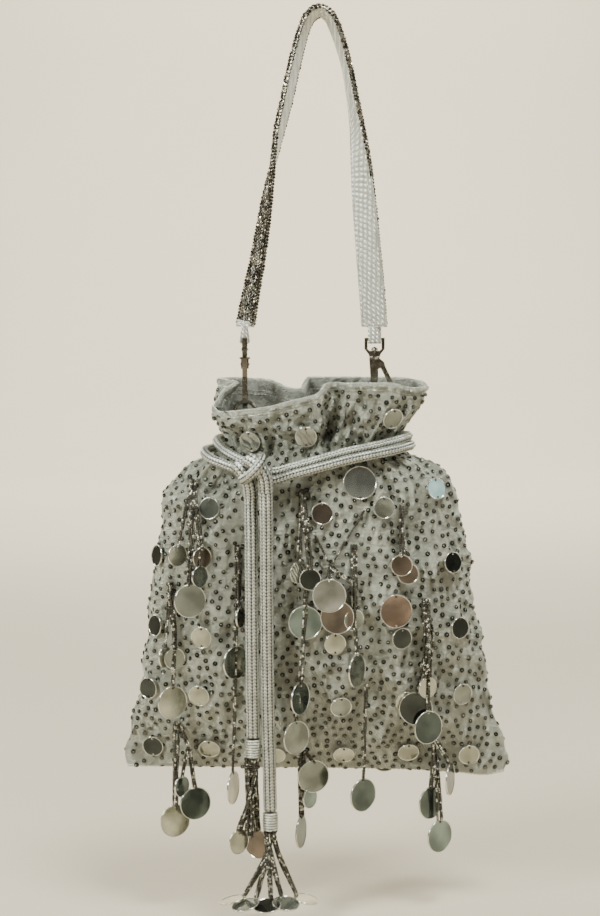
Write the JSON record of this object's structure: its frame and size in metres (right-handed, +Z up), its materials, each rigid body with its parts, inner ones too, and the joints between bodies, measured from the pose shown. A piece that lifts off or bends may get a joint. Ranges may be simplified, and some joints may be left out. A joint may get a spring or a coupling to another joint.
{
  "type": "reticule",
  "caption": "Soft drawstring pouch with a padded strap on snap hooks, hanging bead strings, round mirrored sequins and tasselled cord ends.",
  "frame": {"origin": "the underside of the strap where it hangs, at its highest point", "axes": "+X to the wearer's right hand side of the picture, +Y away from the front, +Z up"},
  "size_m": [0.234, 0.0985, 0.5298],
  "materials": {
    "cloth": "satin cloth under small grey sequins",
    "ribbon": "silver woven ribbon",
    "braid": "silver metallic braid",
    "gunmetal": "dark plated",
    "mirrored": "mirror-coated film",
    "beads": "metallic seed beads and mirror-coated sequins"
  },
  "bodies": {
    "reticule": {"bail_left": "gunmetal", "bail_right": "gunmetal", "drawstring": "braid", "hook_left": "gunmetal", "hook_right": "gunmetal", "pouch": "cloth", "ring_left": "gunmetal", "ring_right": "gunmetal", "ring_tab_left": "cloth", "ring_tab_right": "cloth", "sequin_behind_hem": "mirrored", "sequin_centre_brown": "mirrored", "sequin_centre_pale": "mirrored", "sequin_clear_low": "mirrored", "sequin_collar_left": "mirrored", "sequin_collar_middle": "mirrored", "sequin_collar_right": "mirrored", "sequin_copper_large": "mirrored", "sequin_dark_middle": "mirrored", "sequin_hem_left_1": "mirrored", "sequin_hem_left_2": "mirrored", "sequin_hem_left_3": "mirrored", "sequin_hem_middle": "mirrored", "sequin_hem_right_1": "mirrored", "sequin_hem_right_2": "mirrored", "sequin_left_lower": "mirrored", "sequin_left_upper": "mirrored", "sequin_low_middle": "mirrored", "sequin_neck_large": "mirrored", "sequin_shoulder_left": "mirrored", "sequin_shoulder_right": "mirrored", "sequin_side_left_high": "mirrored", "sequin_side_left_low": "mirrored", "sequin_side_left_middle": "mirrored", "sequin_side_right_high": "mirrored", "sequin_side_right_low": "mirrored", "sequin_side_right_middle": "mirrored", "sequin_under_swag": "mirrored", "strap": "ribbon", "strap_tab_left": "ribbon", "strap_tab_right": "ribbon", "string_centre": "beads", "string_left_hem": "beads", "string_left_long": "beads", "string_left_low": "beads", "string_left_shoulder": "beads", "string_middle": "beads", "string_middle_hem": "beads", "string_right_curl": "beads", "string_right_hem": "beads", "string_right_long": "beads", "string_right_shoulder": "beads", "string_swag": "beads", "tail_left": "braid", "tail_right": "braid", "tassel_left": "beads", "tassel_right": "beads"},
    "lever_left": {"gate_left": "gunmetal"},
    "lever_right": {"gate_right": "gunmetal"}
  },
  "joints": [
    {"name": "gate_left_hinge", "type": "hinge", "parent": "reticule", "child": "lever_left", "pos_m": [-0.04451, 0.0044, -0.2066], "axis": [-1, 0, 0], "range_deg": [0, 18], "stiffness_Nm_per_rad": 0.02},
    {"name": "gate_right_hinge", "type": "hinge", "parent": "reticule", "child": "lever_right", "pos_m": [0.03742, 0, -0.2066], "axis": [0, 1, 0], "range_deg": [0, 18], "stiffness_Nm_per_rad": 0.02}
  ]
}
